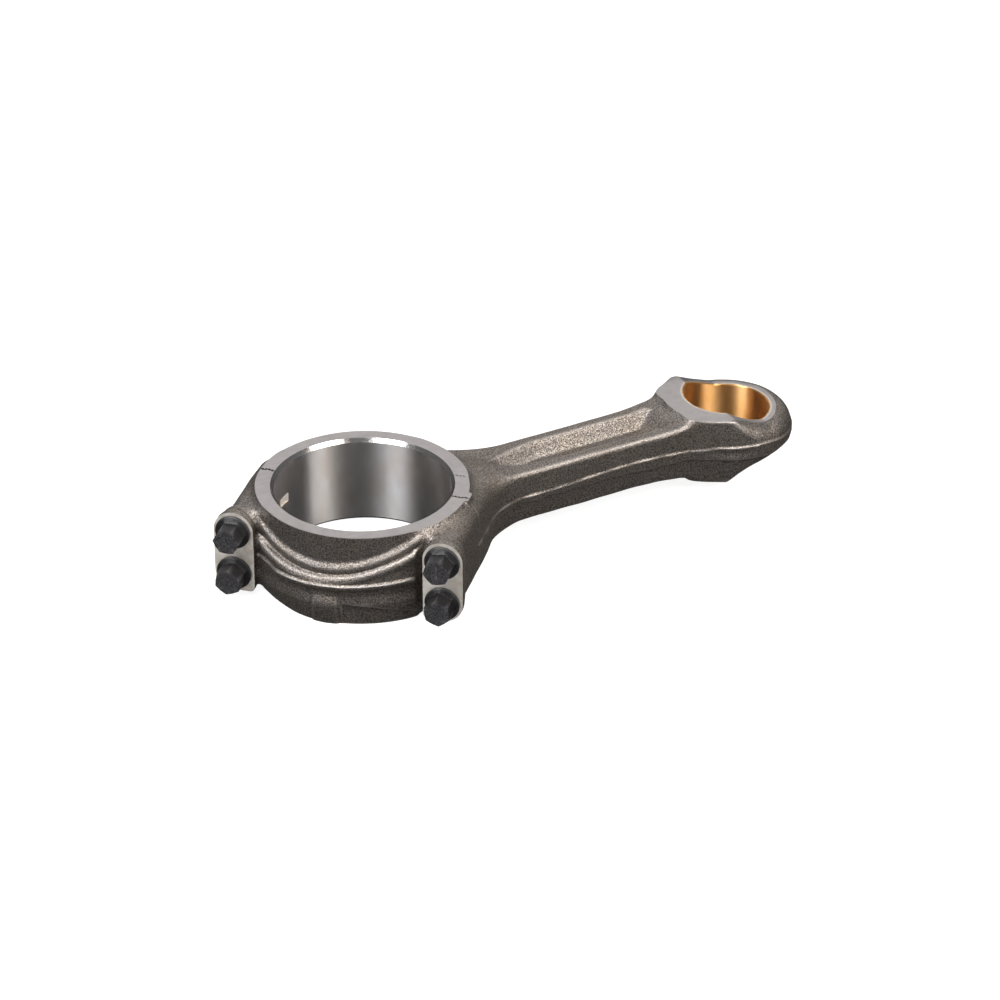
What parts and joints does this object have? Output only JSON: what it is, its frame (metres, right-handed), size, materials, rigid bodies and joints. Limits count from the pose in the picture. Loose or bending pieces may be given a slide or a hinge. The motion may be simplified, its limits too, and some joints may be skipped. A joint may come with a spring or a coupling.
{
  "type": "connecting rod",
  "caption": "Forged engine connecting rod with an I-section shank, an obliquely split big end, a bolted bearing cap and a bushed, stepped small end.",
  "frame": {"origin": "centre of the big-end bore, on the middle plane of the rod", "axes": "+Z along the big-end bore, +X towards the centre of the small end; the rod lies on its side"},
  "size_m": [0.4026, 0.1806, 0.058],
  "materials": {
    "forged_steel": "shot-blasted forging with ground faces",
    "bolt_steel": "black phosphate",
    "bush_steel": "turned",
    "bush_bronze": "bored"
  },
  "bodies": {
    "rod": {"rod_body": "forged_steel", "bush_back": "bush_steel", "bush_lining": "bush_bronze"},
    "cap": {"bearing_cap": "forged_steel"},
    "bolt_far_top": {"cap_bolt_far_top": "bolt_steel"},
    "bolt_far_bottom": {"cap_bolt_far_bottom": "bolt_steel"},
    "bolt_shank_top": {"cap_bolt_shank_top": "bolt_steel"},
    "bolt_shank_bottom": {"cap_bolt_shank_bottom": "bolt_steel"}
  },
  "joints": [
    {"name": "cap_off", "type": "slide", "parent": "rod", "child": "cap", "axis": [-0.7071, -0.7071, 0], "range_m": [0, 0.06]},
    {"name": "bolt_far_top_out", "type": "slide", "parent": "cap", "child": "bolt_far_top", "axis": [-0.7071, -0.7071, 0], "range_m": [0, 0.09]},
    {"name": "bolt_far_bottom_out", "type": "slide", "parent": "cap", "child": "bolt_far_bottom", "axis": [-0.7071, -0.7071, 0], "range_m": [0, 0.09]},
    {"name": "bolt_shank_top_out", "type": "slide", "parent": "cap", "child": "bolt_shank_top", "axis": [-0.7071, -0.7071, 0], "range_m": [0, 0.09]},
    {"name": "bolt_shank_bottom_out", "type": "slide", "parent": "cap", "child": "bolt_shank_bottom", "axis": [-0.7071, -0.7071, 0], "range_m": [0, 0.09]}
  ]
}
